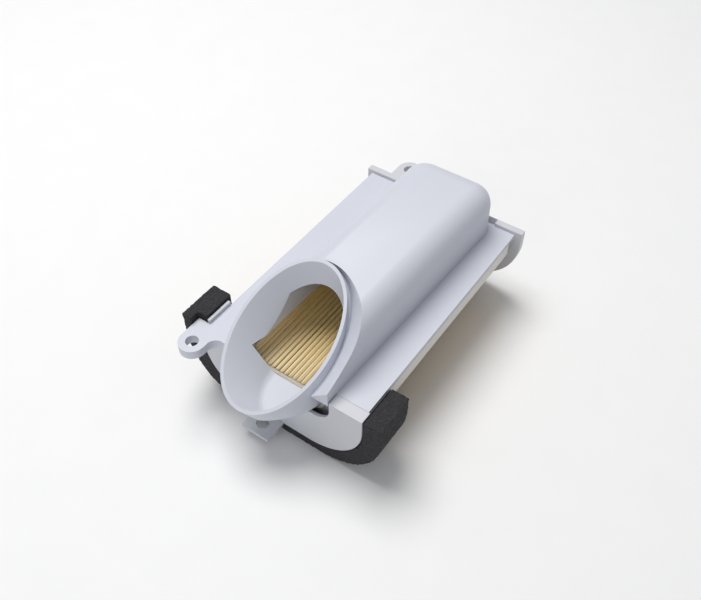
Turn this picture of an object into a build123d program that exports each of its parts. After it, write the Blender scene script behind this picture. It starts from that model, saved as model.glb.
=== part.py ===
from build123d import *
from math import cos, hypot, pi, radians, sin, tan
import os

# Air filter cartridge of a small engine: a moulded duct cover with an oval mouth, two D-shaped
# end caps, a trough of pleated paper bonded between them, and a foam strip round the front cap.
# It is drawn with x to the right, y from the mouth to the rear and z = 0 on the flange's top face.
# Before export every piece is moved so that the origin lies under the middle of the part.

os.makedirs("parts", exist_ok=True)

# ---------------------------------------------------------------- driving dimensions, mm
flange_width = 90.0
body_length = 144.0          # front cap's face to the front face of the rear plate
body_depth = 38.3            # flange top to the bottom of the D-shaped section
corner_radius = 30.0         # lower corners of the D-shaped section
flange_thick = 2.2
glue_gap = 0.1               # gap of a bonded joint

cap_step = 0.8               # the front cap stands this far outside the flange
cap_wall = 1.6
cap_length = 23.2            # front cap's collar, along y
front_lip = 6.4              # shelf of the front cap in front of the cover's edge
plate_thick = 3.8            # rear plate
plate_rim = 2.7              # rear plate stands this far outside the front cap's section
plate_shift = 0.5            # and this far to the right
plate_drop = 0.7             # it reaches this far below the section
plate_rise = 1.8             # and this far above the flange
plate_corner = 32.0
step_gap = 0.3               # step in the plate to the dome's side walls

dome_height = 27.0
dome_front_left = -22.4      # outer foot of the dome's walls at the front face
dome_front_right = 27.6
dome_rear_left = -18.0       # and at the dome's rear face
dome_rear_right = 32.6
dome_overhang = 3.5          # dome's rear face behind the front face of the rear plate
dome_draft = 1.5             # degrees
dome_edge_radius = 11.0      # long top edges
dome_corner_radius = 13.0    # rear corners in plan
duct_wall = 2.0

mouth_half_length = 37.9     # inside the rim, along the slope
mouth_half_width = 23.9
rim_wall = 1.7
mouth_tilt = 27.75           # degrees from level, facing up and forward
mouth_x = -7.0
mouth_rear = 47.3            # y of the inside of the rim at its highest point
mouth_top = 27.4             # z of the rim there
recess_depth = 6.0           # clearance cut round the neck: its foot below the rim
recess_rise = 30.0           # its top above the rim, clear of the dome
recess_flare = 20.0          # it widens by this on the way up
recess_shift = 17.0          # and moves this far to the right
recess_pull = 14.0           # and this far down the slope
scoop_x = 5.5                # oval floor inside the neck
scoop_y = 11.0
scoop_z = -14.6
scoop_half_width = 16.0
scoop_half_length = 25.0
scoop_radius = 6.0           # inner radius where the neck's wall meets the floor

pleat_height = 22.0
pleat_pitch = 2.5            # along the inner folds
paper_thick = 0.6
paper_gap = 0.2              # outer folds to the inside of the front cap's collar
front_bed_depth = 2.4        # adhesive beds at the paper's ends
rear_bed_depth = 5.0
side_bed_thick = 2.0         # adhesive strips under the flange
seal_bead = 2.0              # adhesive bead round the duct, in front of the cap's inner wall

hole_radius = 3.25           # clearance hole for an M6 screw
ear_radius = 6.8
ear_thick = 5.0
ear_fillet = 5.0
front_ear_x = -45.0
front_ear_reach = 7.5        # hole's centre in front of the front cap's face
ear_back = 5.2               # ear's rear edge behind that face
rear_ear_x = -28.0
rear_ear_reach = 8.4         # hole's centre behind the rear plate
tab_x = -7.5
tab_width = 16.0
tab_length = 12.3
tab_hole_reach = 6.0
tab_thick = 2.0
tab_drop = 1.4               # tab's underside below the cap
gusset_length = 5.0
gusset_thick = 1.5

notch_depth = 15.0           # opening between the neck and the dome's right wall in the front cap's face
notch_radius = 9.0
notch_gap = 0.3              # its upright edge to the dome's wall

foam_side = 9.4              # thickness beside the cap
foam_under = 6.0             # thickness below it, squeezed by the part's weight
foam_corner = 34.0
foam_stand = 4.0             # left end above the flange
foam_lean = 2.5              # and outwards from the foot
foam_gap = 0.3               # foam to the ear and the stop rib
tape_thick = 0.3
tape_margin = 0.8            # tape's edges inside the foam's
stop_rib_height = 2.0        # rib beside the flange that the foam's left end leans on
stop_rib_thick = 1.5
stop_rib_rear = 20.5
stop_rib_drop = 8.0

# ---------------------------------------------------------------- values worked out from them
half_flange = flange_width / 2
half_cap = half_flange + cap_step
tilt = radians(mouth_tilt)
mouth_y = mouth_rear - mouth_half_length * cos(tilt)
mouth_z = mouth_top - mouth_half_length * sin(tilt)
mouth_front = mouth_y - (mouth_half_length + rim_wall) * cos(tilt)
rim_plane = Plane((mouth_x, mouth_y, mouth_z), x_dir=(1, 0, 0), z_dir=(0, -sin(tilt), cos(tilt)))
dome_rear = body_length + dome_overhang
flange_under = -flange_thick - glue_gap  # what the flange lies on
bulkhead = front_lip + glue_gap          # front face of the front cap's inner wall
duct_end = bulkhead + cap_wall
paper_front = duct_end + front_bed_depth
paper_rear = body_length - rear_bed_depth
paper_top = -flange_thick - side_bed_thick
outer_inset = cap_wall + paper_gap
inner_inset = outer_inset + pleat_height
ear_left = front_ear_x - ear_radius
ear_right = front_ear_x + ear_radius
foam_bottom = -(body_depth + tape_thick + foam_under)
foam_right = half_cap + tape_thick + foam_side
foam_left = -foam_right - foam_lean
part_rear = body_length + plate_thick + rear_ear_reach + ear_radius
far = 4 * (body_length + flange_width)


def across(y):
    """Plane of a cross-section at y, with sketch axes x and z. A negative extrusion goes to the rear."""
    return Plane.XZ.offset(-y)


def d_section(y, half_width, depth, radius, top=0.0, shift=0.0):
    """D-shaped cross-section: flat top, upright sides, rounded lower corners."""
    with BuildSketch(across(y)) as section:
        with Locations((shift, (top - depth) / 2)):
            Rectangle(2 * half_width, top + depth)
        fillet(section.vertices().group_by(Axis.Y)[0], min(radius, depth + top - 0.1, half_width - 0.1))
    return section.sketch


def cap_section(y, inset=0.0, top=0.0):
    """The front cap's D-shaped section, drawn smaller by inset."""
    return d_section(y, half_cap - inset, body_depth - inset, corner_radius - inset, top)


def feet(y):
    """Feet of the dome's outer walls at y, on two straight lines."""
    share = y / dome_rear
    left = dome_front_left + share * (dome_rear_left - dome_front_left)
    right = dome_front_right + share * (dome_rear_right - dome_front_right)
    return left, right


def dome_section(y, inset):
    """Cross-section of the dome at y from the flange's underside up, drawn smaller by inset."""
    left, right = feet(y)
    lean = tan(radians(dome_draft))
    foot = -flange_thick
    top = dome_height - inset
    with BuildSketch(across(y)) as section:
        with BuildLine():
            Polyline(
                (left + inset + foot * lean, foot),
                (left + inset + top * lean, top),
                (right - inset - top * lean, top),
                (right - inset - foot * lean, foot),
                close=True,
            )
        make_face()
        fillet(section.vertices().group_by(Axis.Y)[-1], dome_edge_radius - inset)
    return section.sketch


def dome_body(start, inset):
    """The dome as a solid from y = start to its rear, whose upright corners are rounded."""
    end = dome_rear - inset
    with BuildPart() as body:
        loft([dome_section(start, inset), dome_section(end, inset)], ruled=True)
        rear_edges = body.faces().sort_by(Axis.Y)[-1].edges().filter_by(GeomType.LINE)
        uprights = [edge for edge in rear_edges if abs(edge.tangent_at(0.5).Z) > 0.8]
        fillet(uprights, dome_corner_radius - inset)
    return body.part


def neck_body(grow):
    """The duct as a solid, from its oval mouth down to the oval floor of the scoop."""
    with BuildPart() as body:
        with BuildSketch(rim_plane):
            Ellipse(mouth_half_width + grow, mouth_half_length + grow)
        with BuildSketch(Plane.XY.offset(scoop_z - grow)):
            with Locations((scoop_x, scoop_y)):
                Ellipse(scoop_half_width + grow, scoop_half_length + grow)
        loft()
        # the foot's rounding has to fit in the floor's width and in the wall's overhang
        room = 0.6 * (mouth_half_length - scoop_half_length)
        foot_radius = min(scoop_radius + grow, 0.45 * (scoop_half_width + grow), room + grow)
        fillet(body.faces().sort_by(Axis.Z)[0].edges(), foot_radius)
    return body.part


def recess_body(grow):
    """Clearance round the mouth, cut into the dome: an oval cone that opens up and to the right."""
    outer = rim_wall + grow
    with BuildPart() as body:
        with BuildSketch(rim_plane.offset(-recess_depth - grow)):
            Ellipse(mouth_half_width + outer, mouth_half_length + outer)
        with BuildSketch(rim_plane.offset(recess_rise)):
            with Locations((recess_shift, -recess_pull)):
                Ellipse(mouth_half_width + outer + recess_flare, mouth_half_length + outer + recess_flare)
        loft()
    return body.part


def block(x_range, y_range, z_range):
    """An upright box between the given limits."""
    sizes = [high - low for low, high in (x_range, y_range, z_range)]
    centre = [(high + low) / 2 for low, high in (x_range, y_range, z_range)]
    return Pos(*centre) * Box(*sizes, mode=Mode.PRIVATE)


def screw_hole(x, y):
    """A cutter for a screw hole."""
    return Pos(x, y, 0) * Cylinder(hole_radius, far, mode=Mode.PRIVATE)


# ---------------------------------------------------------------- duct cover: flange, dome, neck and ear
with BuildPart() as dome:
    add(dome_body(0, 0))
    add(recess_body(0), mode=Mode.SUBTRACT)

with BuildPart() as dome_hollow:
    add(dome_body(duct_end, duct_wall))
    add(recess_body(duct_wall), mode=Mode.SUBTRACT)

with BuildPart() as duct_wall_solid:
    add(neck_body(rim_wall))
    add(block((-far, far), (duct_end, far), (-far, -flange_thick)), mode=Mode.SUBTRACT)

with BuildPart() as duct_cover:
    with BuildSketch(Plane.XY):
        with Locations((front_ear_x, -front_ear_reach)):
            Circle(ear_radius)
        with Locations((front_ear_x, (ear_back - front_ear_reach) / 2)):
            Rectangle(2 * ear_radius, ear_back + front_ear_reach)
        with Locations(((mouth_x - half_flange) / 2, ear_back / 2)):
            Rectangle(mouth_x + half_flange, ear_back)
    extrude(amount=-ear_thick)
    fillet(duct_cover.edges().filter_by(Axis.Z).sort_by_distance((ear_right, 0, 0))[0], ear_fillet)
    add(block((-half_flange, mouth_x), (ear_back - 1, bulkhead + 1), (-flange_thick, 0)))
    add(block((-half_flange, half_flange), (bulkhead, body_length - glue_gap), (-flange_thick, 0)))
    add(dome.part)
    add(duct_wall_solid.part)
    add(dome_hollow.part, mode=Mode.SUBTRACT)
    add(neck_body(0), mode=Mode.SUBTRACT)
    add(screw_hole(front_ear_x, -front_ear_reach), mode=Mode.SUBTRACT)

# ---------------------------------------------------------------- front end cap: a D-shaped box, open on top
notch_left = mouth_x
notch_right = feet(bulkhead)[1] + flange_thick * tan(radians(dome_draft)) + notch_gap
tab_left = tab_x - tab_width / 2
tab_bottom = -body_depth - tab_drop

with BuildPart() as front_end_cap:
    extrude(cap_section(0), amount=-cap_length)
    extrude(cap_section(cap_wall, cap_wall, -flange_thick), amount=cap_wall - bulkhead, mode=Mode.SUBTRACT)
    extrude(cap_section(duct_end, cap_wall, cap_wall), amount=-cap_length, mode=Mode.SUBTRACT)
    # the cover's flange and ear lie in these steps
    add(block((-far, far), (front_lip, far), (flange_under, far)), mode=Mode.SUBTRACT)
    add(block((-far, notch_left), (-far, far), (-ear_thick - glue_gap, far)), mode=Mode.SUBTRACT)
    # the duct passes through both walls, with an opening beside it in the front one
    add(neck_body(rim_wall + glue_gap), mode=Mode.SUBTRACT)
    with BuildSketch(across(-1)) as notch:
        with Locations(((notch_left + notch_right) / 2, 0)):
            Rectangle(notch_right - notch_left, 2 * notch_depth)
        fillet(notch.vertices().group_by(Axis.Y)[0].sort_by(Axis.X)[-1], notch_radius)
    extrude(amount=-(1 + bulkhead), mode=Mode.SUBTRACT)
    # rib beside the flange, for the foam's end
    add(block(
        (-half_flange - glue_gap - stop_rib_thick, -half_flange - glue_gap),
        (ear_back + foam_gap, stop_rib_rear),
        (-stop_rib_drop, stop_rib_height),
    ))
    # tab with its gusset
    add(block((tab_left, tab_left + tab_width), (-tab_length, 0), (tab_bottom, tab_bottom + tab_thick)))
    with BuildSketch(Plane.YZ.offset(tab_left)):
        with BuildLine():
            Polyline(
                (0, tab_bottom + tab_thick / 2),
                (-gusset_length, tab_bottom + tab_thick / 2),
                (-gusset_length, tab_bottom + tab_thick),
                (0, tab_bottom + tab_thick + gusset_length),
                (cap_wall, tab_bottom + tab_thick + gusset_length),
                (cap_wall, tab_bottom + tab_thick),
                (0, tab_bottom + tab_thick),
                close=True,
            )
        make_face()
    extrude(amount=gusset_thick)
    with Locations((tab_x, -tab_hole_reach, tab_bottom)):
        Cylinder(hole_radius, 4 * tab_thick, mode=Mode.SUBTRACT)

# ---------------------------------------------------------------- rear end cap: plate with an ear
plate_half = half_cap + plate_rim
plate_y = body_length + plate_thick

with BuildPart() as rear_end_cap:
    extrude(
        d_section(body_length, plate_half, body_depth + plate_drop, plate_corner, plate_rise, plate_shift),
        amount=-plate_thick,
    )
    with BuildSketch(Plane.XY.offset(plate_rise)):
        with Locations((rear_ear_x, plate_y + rear_ear_reach)):
            Circle(ear_radius)
        with Locations((rear_ear_x, plate_y + (rear_ear_reach - 1) / 2)):
            Rectangle(2 * ear_radius, rear_ear_reach + 1)
    extrude(amount=-ear_thick)
    # the dome's rear end stands on this step
    add(
        block(
            (dome_rear_left - step_gap, dome_rear_right + step_gap),
            (body_length - 1, dome_rear + glue_gap),
            (flange_under, far),
        ),
        mode=Mode.SUBTRACT,
    )
    add(screw_hole(rear_ear_x, plate_y + rear_ear_reach), mode=Mode.SUBTRACT)

# ---------------------------------------------------------------- pleated paper and its adhesive


def section_point(share, inset):
    """Point of the paper's section, drawn smaller by inset, at a share of its way from left to right."""
    radius = corner_radius - inset
    start = paper_top - paper_thick / 2
    upright = body_depth - inset - radius + start
    flat = half_cap - corner_radius
    way = share * (2 * upright + pi * radius + 2 * flat)
    if share > 0.5:
        x, z = section_point(1 - share, inset)
        return -x, z
    if way <= upright:
        return inset - half_cap, start - way
    turn = (way - upright) / radius
    if turn <= pi / 2:
        return -flat - radius * cos(turn), start - upright - radius * sin(turn)
    return -flat + way - upright - radius * pi / 2, inset - body_depth


def fold_points(tip, before, after):
    """Outline of a fold: the two points round its outside and the point in its crease."""
    half = paper_thick / 2
    width = [after[axis] - before[axis] for axis in (0, 1)]
    depth = [(before[axis] + after[axis]) / 2 - tip[axis] for axis in (0, 1)]
    step = [half * size / hypot(*width) for size in width]
    crease = half * hypot(hypot(*depth), hypot(*width) / 2) / (hypot(*width) / 2)
    inside = [tip[axis] + crease * depth[axis] / hypot(*depth) for axis in (0, 1)]
    outside = [(tip[0] - step[0], tip[1] - step[1]), (tip[0] + step[0], tip[1] + step[1])]
    return outside, tuple(inside)


inner_radius = corner_radius - inner_inset
inner_way = 2 * (body_depth - inner_inset - inner_radius + paper_top) + pi * inner_radius
inner_way += 2 * (half_cap - corner_radius)
pleat_count = round(inner_way / pleat_pitch)
folds = []
for index in range(2 * pleat_count + 1):
    if index % 2:
        folds.append(section_point((index - 1) / (2 * pleat_count - 2), outer_inset))
    else:
        folds.append(section_point(index / (2 * pleat_count), inner_inset))

inner_line = [(folds[0][0], folds[0][1] - paper_thick / 2)]
outer_line = [(folds[0][0], folds[0][1] + paper_thick / 2)]
for index in range(1, 2 * pleat_count):
    outside, crease = fold_points(folds[index], folds[index - 1], folds[index + 1])
    if index % 2:
        outer_line += outside
        inner_line.append(crease)
    else:
        inner_line += outside
        outer_line.append(crease)
inner_line.append((folds[-1][0], folds[-1][1] - paper_thick / 2))
outer_line.append((folds[-1][0], folds[-1][1] + paper_thick / 2))

with BuildPart() as pleated_paper:
    with BuildSketch(across(paper_front)):
        with BuildLine():
            Polyline(*inner_line, *reversed(outer_line), close=True)
        make_face()
    extrude(amount=paper_front - paper_rear)


def paper_bed(start, end):
    """Adhesive in which one end of the paper is set: a band as deep as the pleats."""
    with BuildPart() as bed:
        extrude(cap_section(start, outer_inset, paper_top), amount=start - end)
        extrude(cap_section(start, inner_inset, far), amount=start - end, mode=Mode.SUBTRACT)
    return bed.part


front_paper_bed = paper_bed(duct_end, paper_front)
rear_paper_bed = paper_bed(paper_rear, body_length)

side_beds = {}
for side, name in ((-1, "left_side_bed"), (1, "right_side_bed")):
    edges = sorted((side * (half_cap - outer_inset), side * (half_cap - inner_inset)))
    side_beds[name] = block(edges, (duct_end, body_length), (paper_top, -flange_thick))

with BuildPart() as neck_seal_bead:
    add(neck_body(rim_wall + seal_bead))
    add(neck_body(rim_wall), mode=Mode.SUBTRACT)
    add(block((-far, far), (bulkhead - seal_bead, bulkhead), (-far, -ear_thick - 1)), mode=Mode.INTERSECT)

# ---------------------------------------------------------------- foam strip and its tape
half_tape = half_cap + tape_thick
tape_depth = body_depth + tape_thick
tape_corner = corner_radius + tape_thick

with BuildPart() as foam_seal:
    with BuildSketch(across(0)) as foam_section:
        with BuildLine():
            Polyline(
                (foam_left, foam_stand),
                (-foam_right, foam_bottom),
                (foam_right, foam_bottom),
                (foam_right, foam_stand),
                close=True,
            )
        make_face()
        fillet(foam_section.vertices().group_by(Axis.Y)[0], foam_corner)
    extrude(amount=-cap_length)
    extrude(d_section(0, half_tape, tape_depth, tape_corner, far), amount=-cap_length, mode=Mode.SUBTRACT)
    add(block((0, far), (-far, far), (0, far)), mode=Mode.SUBTRACT)
    # clear of the ear and of the stop rib
    add(
        block((ear_left - foam_gap, 0), (-far, ear_back + foam_gap), (-ear_thick - foam_gap, far)),
        mode=Mode.SUBTRACT,
    )
    add(
        block(
            (-half_flange - stop_rib_thick - foam_gap, 0), (-far, far), (-stop_rib_drop - foam_gap, far)
        ),
        mode=Mode.SUBTRACT,
    )

with BuildPart() as foam_tape:
    extrude(d_section(tape_margin, half_tape, tape_depth, tape_corner), amount=2 * tape_margin - cap_length)
    extrude(cap_section(0, 0, far), amount=-cap_length, mode=Mode.SUBTRACT)
    add(block((-far, 0), (-far, far), (-stop_rib_drop - foam_gap, far)), mode=Mode.SUBTRACT)

# ---------------------------------------------------------------- export, with the origin under the middle
to_origin = Pos(-(foam_left + foam_right) / 2, -(mouth_front + part_rear) / 2, -foam_bottom)
pieces = {
    "duct_cover": duct_cover.part,
    "front_end_cap": front_end_cap.part,
    "rear_end_cap": rear_end_cap.part,
    "pleated_paper": pleated_paper.part,
    "front_paper_bed": front_paper_bed,
    "rear_paper_bed": rear_paper_bed,
    **side_beds,
    "neck_seal_bead": neck_seal_bead.part,
    "foam_seal": foam_seal.part,
    "foam_tape": foam_tape.part,
}
for name, piece in pieces.items():
    piece = to_origin * piece
    piece.label = name
    export_step(piece, f"parts/{name}.step")
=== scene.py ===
import bpy
import bmesh
import math
from mathutils import Matrix, Vector, noise


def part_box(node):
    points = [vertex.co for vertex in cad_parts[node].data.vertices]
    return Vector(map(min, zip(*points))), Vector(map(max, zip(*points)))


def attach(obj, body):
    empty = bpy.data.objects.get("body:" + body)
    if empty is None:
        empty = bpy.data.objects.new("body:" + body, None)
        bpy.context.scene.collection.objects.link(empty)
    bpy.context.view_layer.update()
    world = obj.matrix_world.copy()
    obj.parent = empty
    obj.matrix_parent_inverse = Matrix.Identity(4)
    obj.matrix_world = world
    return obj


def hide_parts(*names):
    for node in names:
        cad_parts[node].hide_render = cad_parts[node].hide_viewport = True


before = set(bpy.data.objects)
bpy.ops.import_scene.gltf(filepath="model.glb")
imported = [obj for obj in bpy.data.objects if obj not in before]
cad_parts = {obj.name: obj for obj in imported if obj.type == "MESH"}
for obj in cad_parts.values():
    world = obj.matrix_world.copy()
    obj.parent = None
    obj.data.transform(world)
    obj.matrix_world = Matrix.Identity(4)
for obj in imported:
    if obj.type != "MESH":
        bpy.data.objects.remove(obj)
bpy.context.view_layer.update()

# Camera and room.
# The cartridge lies on a pale table under one large soft lamp, above and to its left, with a
# weak fill from the front. The camera looks down on the mouth from the front right.
view_turn = math.radians(34.573)
view_drop = math.radians(47.586)
view_roll = math.radians(0.36)
eye = Vector((0.15607, -0.23822, 0.34175))
back = Vector((
    math.sin(view_turn) * math.cos(view_drop),
    -math.cos(view_turn) * math.cos(view_drop),
    math.sin(view_drop),
))
side = Vector((math.cos(view_turn), math.sin(view_turn), 0))
upright = back.cross(side)
right = math.cos(view_roll) * side + math.sin(view_roll) * upright
up = back.cross(right)
camera_data = bpy.data.cameras.new("camera")
camera_data.lens = 42.346
camera_data.sensor_width = 36
camera_data.clip_start = 0.01
camera = bpy.data.objects.new("camera", camera_data)
camera.matrix_world = Matrix.Translation(eye) @ Matrix((right, up, back)).transposed().to_4x4()
bpy.context.scene.collection.objects.link(camera)
bpy.context.scene.camera = camera


def lamp(name, place, target, size, power, colour):
    data = bpy.data.lights.new(name, "AREA")
    data.shape = "DISK"
    data.size = size
    data.energy = power
    data.color = colour
    thing = bpy.data.objects.new(name, data)
    thing.location = place
    thing.rotation_euler = (Vector(place) - Vector(target)).to_track_quat("Z", "Y").to_euler()
    bpy.context.scene.collection.objects.link(thing)


lamp("soft_lamp", (-0.42, 0.15, 1.3), (0, 0, 0), 0.9, 14.5, (1, 0.99, 0.975))
lamp("front_fill", (0.1, -1.1, 0.5), (0, 0, 0.02), 0.9, 2, (0.96, 0.98, 1))

world = bpy.data.worlds.new("room")
bpy.context.scene.world = world
world.use_nodes = True
room_light = world.node_tree.nodes["Background"]
room_light.inputs["Color"].default_value = (0.95, 0.97, 1, 1)
room_light.inputs["Strength"].default_value = 0.35
bpy.context.scene.view_settings.view_transform = "Standard"


class Wire:
    """An output of a node. Used in an expression, it adds the Math nodes for it."""

    def __init__(self, socket):
        self.socket = socket

    def math(self, operation, *values):
        tree = self.socket.id_data
        node = tree.nodes.new("ShaderNodeMath")
        node.operation = operation
        for slot, value in zip(node.inputs, values):
            if isinstance(value, Wire):
                tree.links.new(value.socket, slot)
            else:
                slot.default_value = value
        return Wire(node.outputs[0])

    def __add__(self, other):
        return self.math("ADD", self, other)

    def __radd__(self, other):
        return self.math("ADD", other, self)

    def __sub__(self, other):
        return self.math("SUBTRACT", self, other)

    def __rsub__(self, other):
        return self.math("SUBTRACT", other, self)

    def __mul__(self, other):
        return self.math("MULTIPLY", self, other)

    def __rmul__(self, other):
        return self.math("MULTIPLY", other, self)


class Tree:
    """A node tree, of a material or of geometry, that nodes are added to one by one."""

    def __init__(self, tree):
        self.tree = tree

    def add(self, kind, settings=None, values=None, output=0):
        """Adds a node: its settings first, then its sockets' values or links. Returns one output."""
        node = self.tree.nodes.new(kind)
        for name, value in (settings or {}).items():
            setattr(node, name, value)
        for name, value in (values or {}).items():
            slot = self.find(node.inputs, name)
            if isinstance(value, Wire):
                self.tree.links.new(value.socket, slot)
            else:
                slot.default_value = value
        return Wire(self.find(node.outputs, output))

    @staticmethod
    def find(sockets, name):
        if isinstance(name, int):
            return sockets[name]
        for socket in sockets:
            if name == socket.identifier:
                return socket
        return sockets[name]


class Finish(Tree):
    """A material with one Principled shader."""

    def __init__(self, name, **constants):
        self.material = bpy.data.materials.new(name)
        self.material.use_nodes = True
        super().__init__(self.material.node_tree)
        self.shader = self.tree.nodes["Principled BSDF"]
        for socket, value in constants.items():
            self.shader.inputs[socket.replace("_", " ")].default_value = value

    def drive(self, socket, wire):
        self.tree.links.new(wire.socket, self.shader.inputs[socket])

    def place(self):
        return self.add("ShaderNodeTexCoord", output="Object")

    def stretched(self, scale):
        return self.add("ShaderNodeMapping", values={"Vector": self.place(), "Scale": scale})

    def noise(self, where, scale, detail=3.0, rough=0.5):
        values = {"Vector": where, "Scale": scale, "Detail": detail, "Roughness": rough}
        return self.add("ShaderNodeTexNoise", values=values, output="Fac")

    def blend(self, mask, first, second):
        values = {"Factor_Float": mask, "A_Color": first, "B_Color": second}
        return self.add("ShaderNodeMix", {"data_type": "RGBA"}, values, "Result_Color")

    def bump(self, height, distance, strength=1.0):
        values = {"Height": height, "Distance": distance, "Strength": strength}
        self.drive("Normal", self.add("ShaderNodeBump", values=values))


# Table.
# A matt white sheet of laminate that the part lies on, much larger than the view. It is plain,
# and only a faint cloudiness in its colour shows.
reach = 3.0
table_corners = [(-reach, -reach, 0), (reach, -reach, 0), (reach, reach, 0), (-reach, reach, 0)]
table = bpy.data.meshes.new("table")
table.from_pydata(table_corners, [], [(0, 1, 2, 3)])
table_top = bpy.data.objects.new("table", table)
bpy.context.scene.collection.objects.link(table_top)
laminate = Finish("laminate", Roughness=0.7)
speckle = laminate.noise(laminate.place(), 40)
laminate.drive("Base Color", laminate.blend(speckle, (0.88, 0.88, 0.88, 1), (0.91, 0.91, 0.91, 1)))
table.materials.append(laminate.material)

# Duct cover.
# One injection moulding in a cool off-white plastic: flange, dome, oval neck and screw ear. Its
# edges are slightly rounded by the mould, and the melt has left faint streaks along the dome.
edge_round = 0.0003
merge_distance = 0.000002
flat_angle = math.radians(0.4)
rounded_angle = math.radians(32)
sharp_angle = math.radians(33)


def moulded_plastic(name, colour, shade):
    """Satin off-white plastic with flow streaks, a fine eroded texture and uneven gloss."""
    finish = Finish(name, IOR=1.5)
    streaks = finish.noise(finish.stretched((150, 7, 150)), 1, 4, 0.6)
    cloud = finish.noise(finish.place(), 22, 3)
    grain = finish.noise(finish.place(), 2600, 2)
    mask = 0.55 * streaks + 0.45 * cloud
    finish.drive("Base Color", finish.blend(mask, (*shade, 1), (*colour, 1)))
    finish.drive("Roughness", 0.36 + 0.12 * cloud + 0.05 * grain)
    finish.bump(streaks * 0.7 + grain * 0.3, 0.00007, 0.45)
    return finish.material


def rounded_copy(node, name, material, flatten=True):
    """A merged copy of a moulding with its sharp edges rounded. Flatten joins its flat faces."""
    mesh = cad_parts[node].data.copy()
    mesh.name = name
    work = bmesh.new()
    work.from_mesh(mesh)
    bmesh.ops.remove_doubles(work, verts=work.verts, dist=merge_distance)
    bmesh.ops.dissolve_degenerate(work, edges=work.edges, dist=merge_distance)
    if flatten:
        bmesh.ops.dissolve_limit(work, angle_limit=flat_angle, verts=work.verts, edges=work.edges)
    work.to_mesh(mesh)
    work.free()
    mesh.materials.clear()
    mesh.materials.append(material)
    piece = bpy.data.objects.new(name, mesh)
    bpy.context.scene.collection.objects.link(piece)
    bevel = piece.modifiers.new("round", "BEVEL")
    bevel.width = edge_round
    bevel.segments = 2
    bevel.limit_method = "ANGLE"
    bevel.angle_limit = rounded_angle
    mesh.shade_smooth()
    mesh.set_sharp_from_angle(angle=sharp_angle)
    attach(piece, "root")
    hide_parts(node)
    return piece


cover_plastic = moulded_plastic("cover_plastic", (0.628, 0.648, 0.715), (0.59, 0.61, 0.678))
cover = rounded_copy("duct_cover", "cover_shell", cover_plastic)

# End caps.
# Two mouldings in a plainer grey-white plastic, glued to the paper's ends: a D-shaped box in
# front with the lower tab, and a D-shaped plate with a screw ear behind.
cap_plastic = moulded_plastic("cap_plastic", (0.62, 0.63, 0.67), (0.57, 0.58, 0.62))
for node, name in (("front_end_cap", "front_cap"), ("rear_end_cap", "rear_cap")):
    cap = rounded_copy(node, name, cap_plastic, flatten=node != "rear_end_cap")

# Pleated paper.
# One strip of resin-treated filter paper, folded into pleats that run along the cartridge and
# bent into a D-shaped trough. The folds are rounded and a little uneven.
paper_low, paper_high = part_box("pleated_paper")
fold_count = 24
fold_steps = 24
length_steps = 40
sheet_thickness = 0.0005
pleat_height = 0.022
outer_radius = 0.0282
wall_slope = 4.4
wall_start = 0.24
crown_blend = 0.6
crown_rise = 0.045
wander = 0.09
height_change = 0.02
paper = Finish(
    "filter_paper",
    Roughness=0.85,
    Subsurface_Weight=0.3,
    Subsurface_Radius=(1, 0.9, 0.7),
    Subsurface_Scale=0.0015,
)
fibres = paper.noise(paper.stretched((900, 260, 900)), 1, 5, 0.65)
blotch = paper.noise(paper.place(), 60, 3)
along = paper.add("ShaderNodeSeparateXYZ", values={"Vector": paper.place()}, output="Y")
base = paper.blend(0.6 * fibres + 0.4 * blotch, (0.93, 0.66, 0.26, 1), (0.98, 0.78, 0.40, 1))
# Painted light: the front end of the paper, under the mouth, is blended toward a paler grey-beige that
# stands in for the white light falling in through the mouth.
painted_front_light = paper.add("ShaderNodeMapRange", values={
    "Value": along, "From Min": paper_low.y + 0.045, "From Max": paper_low.y + 0.004,
}, output="Result")
base = paper.blend(0.6 * painted_front_light, base, (0.66, 0.58, 0.44, 1))
paper.drive("Base Color", base)
paper.bump(fibres, 0.00005, 0.6)


def trough(tree, half_width, depth, radius, top, middle):
    """The outline of the trough as a curve: a polyline with its two lower corners rounded."""
    line = tree.add("GeometryNodeMeshLine", values={"Count": 4})
    index = tree.add("GeometryNodeInputIndex")
    right_side = index.math("GREATER_THAN", index, 1.5)
    below = index.math("COMPARE", index, 1.5, 0.6)
    corner = tree.add("ShaderNodeCombineXYZ", values={
        "X": middle - half_width + right_side * (2 * half_width),
        "Z": top - below * depth,
    })
    placed = tree.add("GeometryNodeSetPosition", values={"Geometry": line, "Position": corner})
    curve = tree.add("GeometryNodeMeshToCurve", values={"Mesh": placed})
    values = {"Curve": curve, "Radius": radius, "Limit Radius": False}
    return tree.add("GeometryNodeFilletCurve", {"mode": "POLY"}, {**values, "Count": 24})


pleats = bpy.data.node_groups.new("pleats", "GeometryNodeTree")
pleats.interface.new_socket("Geometry", in_out="OUTPUT", socket_type="NodeSocketGeometry")
for name, kind in (
    ("Folds", "NodeSocketInt"),
    ("Length", "NodeSocketFloat"),
    ("Start", "NodeSocketFloat"),
    ("Paper", "NodeSocketMaterial"),
):
    pleats.interface.new_socket(name, in_out="INPUT", socket_type=kind)
tree = Tree(pleats)
given = pleats.nodes.new("NodeGroupInput")
folds, length, start, sheet_material = (Wire(socket) for socket in given.outputs[:4])
outer_half = (paper_high.x - paper_low.x) / 2 - 0.0002
outer_depth = paper_high.z - paper_low.z - 0.0005
middle = (paper_high.x + paper_low.x) / 2
top = paper_high.z - 0.0003
outer = trough(tree, outer_half, outer_depth, outer_radius, top, middle)
inner = trough(
    tree, outer_half - pleat_height, outer_depth - pleat_height, outer_radius - pleat_height, top, middle
)
grid = tree.add("GeometryNodeMeshGrid", values={
    "Size X": 1, "Size Y": 1, "Vertices X": folds * fold_steps + 1, "Vertices Y": length_steps,
})
spot = tree.add("GeometryNodeInputPosition")
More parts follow.
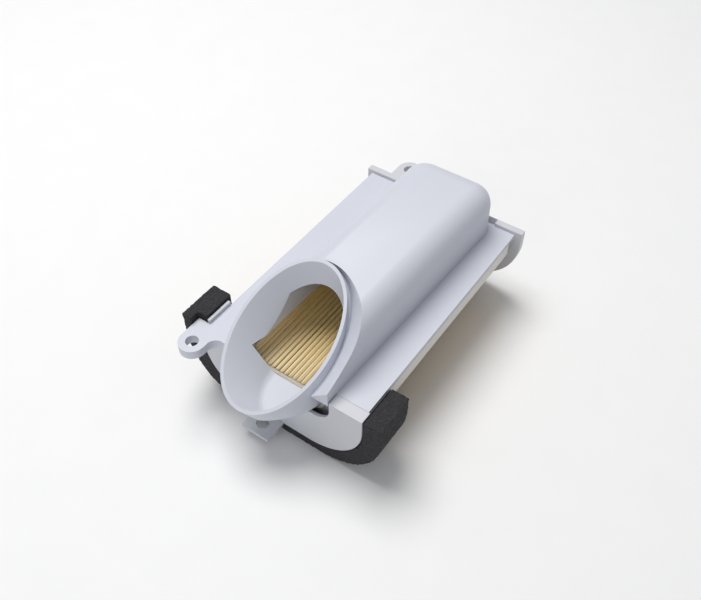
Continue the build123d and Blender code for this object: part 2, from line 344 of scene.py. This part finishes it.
share = tree.add("ShaderNodeSeparateXYZ", values={"Vector": spot}, output="X") + 0.5
way = tree.add("ShaderNodeSeparateXYZ", values={"Vector": spot}, output="Y") + 0.5
drift = tree.add("ShaderNodeCombineXYZ", values={"X": share * 60, "Y": way * 2.2})
drift_noise = tree.add("ShaderNodeTexNoise", values={"Vector": drift, "Scale": 1, "Detail": 1}, output="Fac")
uneven = drift_noise - 0.5
turns = (share * folds + uneven * wander) * (2 * math.pi)
slant = share.math("ARCSINE", share.math("COSINE", turns) * 0.985) * (1 / math.pi) + 0.5
wave = slant.math("SMOOTH_MIN", wall_slope * slant - wall_start, 1, crown_blend)
wave = wave * (1 - crown_rise + crown_rise * slant) * (1 - height_change * uneven)
ends = []
for curve in (outer, inner):
    ends.append(tree.add("GeometryNodeSampleCurve", {"mode": "FACTOR", "use_all_curves": True}, {
        "Curves": curve, "Factor": share,
    }, "Position"))
point = tree.add("ShaderNodeMix", {"data_type": "VECTOR"}, {
    "Factor_Float": wave, "A_Vector": ends[0], "B_Vector": ends[1],
}, "Result_Vector")
shift = tree.add("ShaderNodeCombineXYZ", values={"Y": start + way * length})
point = tree.add("ShaderNodeVectorMath", {"operation": "ADD"}, {0: point, 1: shift})
sheet = tree.add("GeometryNodeSetPosition", values={"Geometry": grid, "Position": point})
sheet = tree.add("GeometryNodeRealizeInstances", values={"Geometry": sheet})
sheet = tree.add("GeometryNodeSetMaterial", values={"Geometry": sheet, "Material": sheet_material})
result = pleats.nodes.new("NodeGroupOutput")
pleats.links.new(sheet.socket, result.inputs[0])


def grown(name, group, inputs):
    """The mesh that a geometry tree makes, as a plain object."""
    seed = bpy.data.objects.new(name, bpy.data.meshes.new(name))
    bpy.context.scene.collection.objects.link(seed)
    modifier = seed.modifiers.new(name, "NODES")
    modifier.node_group = group
    for item in group.interface.items_tree:
        if item.in_out == "INPUT" and item.name in inputs:
            modifier[item.identifier] = inputs[item.name]
    bpy.context.view_layer.update()
    graph = bpy.context.evaluated_depsgraph_get()
    mesh = bpy.data.meshes.new_from_object(seed.evaluated_get(graph))
    seed.modifiers.clear()
    seed.data = mesh
    mesh.name = name
    return seed


folded = grown("folded_paper", pleats, {
    "Folds": fold_count,
    "Length": paper_high.y - paper_low.y,
    "Start": paper_low.y,
    "Paper": paper.material,
})
thickness = folded.modifiers.new("thickness", "SOLIDIFY")
thickness.thickness = sheet_thickness
thickness.offset = 0
folded.data.shade_smooth()
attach(folded, "root")
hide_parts("pleated_paper")

# Adhesive.
# Poured beds that hold the paper's ends and long edges, and a bead round the neck. The adhesive
# has set with a lumpy skin and has yellowed to beige.
glue = Finish("cured_adhesive", Roughness=0.5)
lumps = glue.noise(glue.stretched((400, 60, 400)), 1, 4)
tint = glue.noise(glue.place(), 90, 2)
glue_mask = 0.5 * lumps + 0.5 * tint
glue.drive("Base Color", glue.blend(glue_mask, (0.36, 0.33, 0.28, 1), (0.56, 0.53, 0.47, 1)))
glue.drive("Roughness", 0.42 + 0.2 * tint)
glue.bump(lumps, 0.0003, 0.5)
fine_grain = 0.4
fine_share = 0.5
sink = 0.75


def cast_copy(node, name, pitch, swell, grain, material):
    """A copy of a poured or soft solid as an even skin, roughened by noise of a given grain size."""
    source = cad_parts[node].data.copy()
    work = bmesh.new()
    work.from_mesh(source)
    bmesh.ops.remove_doubles(work, verts=work.verts, dist=merge_distance)
    work.to_mesh(source)
    work.free()
    piece = bpy.data.objects.new(name, source)
    bpy.context.scene.collection.objects.link(piece)
    remesh = piece.modifiers.new("skin", "REMESH")
    remesh.mode = "VOXEL"
    remesh.voxel_size = pitch
    graph = bpy.context.evaluated_depsgraph_get()
    mesh = bpy.data.meshes.new_from_object(piece.evaluated_get(graph))
    piece.modifiers.clear()
    piece.data = mesh
    mesh.name = name
    normals = [vertex.normal.copy() for vertex in mesh.vertices]
    for vertex, normal in zip(mesh.vertices, normals):
        coarse = noise.noise(vertex.co / grain)
        fine = noise.noise(vertex.co / (grain * fine_grain))
        vertex.co += normal * (swell * (coarse + fine_share * fine - sink))
    mesh.materials.clear()
    mesh.materials.append(material)
    mesh.shade_smooth()
    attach(piece, "root")
    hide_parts(node)
    return piece


bed_pitch = 0.0006
bed_swell = 0.00012
bed_grain = 0.003
for node, name in (
    ("front_paper_bed", "front_bed"),
    ("rear_paper_bed", "rear_bed"),
    ("left_side_bed", "left_bed"),
    ("right_side_bed", "right_bed"),
    ("neck_seal_bead", "neck_bead"),
):
    bed = cast_copy(node, name, bed_pitch, bed_swell, bed_grain, glue.material)

# Side flaps.
# The paper's two long edges are turned down against the trough's outer walls as flat flaps and
# sealed with the same adhesive, which was drawn lengthwise with a spreader and left fine lines.
drawn = Finish("drawn_adhesive", Roughness=0.55)
lines = drawn.noise(drawn.stretched((1500, 12, 1500)), 1, 3)
drawn_tint = drawn.noise(drawn.place(), 70, 2)
drawn.drive("Base Color", drawn.blend(
    0.5 * lines + 0.5 * drawn_tint, (0.70, 0.67, 0.62, 1), (0.86, 0.83, 0.79, 1)
))
drawn.bump(lines, 0.0002, 0.6)
flap_height = 0.0075
flap_steps = 12
flap_past_end = 0.001
flap_proud = 0.0004
flap_sunk = 0.0003
ridge_height = 0.00008
ridge_turn = 17
for name, bed, wall, outward in (
    ("left_flap", "left_side_bed", paper_low.x, -1),
    ("right_flap", "right_side_bed", paper_high.x, 1),
):
    outline = []
    for step in range(flap_steps + 1):
        drop = step / flap_steps
        ridge = ridge_height * math.sin(drop * ridge_turn)
        outline.append((wall + outward * (flap_proud + ridge), paper_high.z - flap_height * drop))
    back_face = wall - outward * flap_sunk
    outline += [(back_face, paper_high.z - flap_height), (back_face, paper_high.z)]
    if outward < 0:
        outline.reverse()
    flap_mesh = bpy.data.meshes.new(name)
    work = bmesh.new()
    rings = []
    for end in (paper_low.y - flap_past_end, paper_high.y + flap_past_end):
        rings.append([work.verts.new((x, end, z)) for x, z in outline])
    work.faces.new(rings[0])
    work.faces.new(rings[1][::-1])
    for corner in range(len(outline)):
        after = (corner + 1) % len(outline)
        work.faces.new((rings[0][after], rings[0][corner], rings[1][corner], rings[1][after]))
    bmesh.ops.recalc_face_normals(work, faces=work.faces)
    work.to_mesh(flap_mesh)
    work.free()
    flap_mesh.materials.append(drawn.material)
    flap = bpy.data.objects.new(name, flap_mesh)
    bpy.context.scene.collection.objects.link(flap)
    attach(flap, "root")
    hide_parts(bed)

# Foam strip.
# Black open-cell foam bent round the front cap, squeezed thin below it, with rough cut ends. A
# strip of tape holds it.
foam = Finish("cell_foam", Roughness=0.95)
cells = foam.add("ShaderNodeTexVoronoi", values={"Vector": foam.place(), "Scale": 1100}, output="Distance")
mottle = foam.noise(foam.place(), 350, 4, 0.7)
foam_mask = cells * 0.6 + mottle * 0.4
foam.drive("Base Color", foam.blend(foam_mask, (0.012, 0.011, 0.013, 1), (0.05, 0.047, 0.052, 1)))
foam.bump(cells + mottle, 0.0004, 0.9)
foam_pitch = 0.00055
foam_swell = 0.0003
foam_grain = 0.0016
strip = cast_copy("foam_seal", "foam_strip", foam_pitch, foam_swell, foam_grain, foam.material)

tape = Finish("foam_tape", Roughness=0.6)
threads = tape.noise(tape.stretched((2000, 300, 2000)), 1, 2)
tape.drive("Base Color", tape.blend(threads, (0.03, 0.03, 0.03, 1), (0.06, 0.06, 0.06, 1)))
tape.bump(threads, 0.00003)
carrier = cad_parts["foam_tape"]
carrier.data.materials.clear()
carrier.data.materials.append(tape.material)
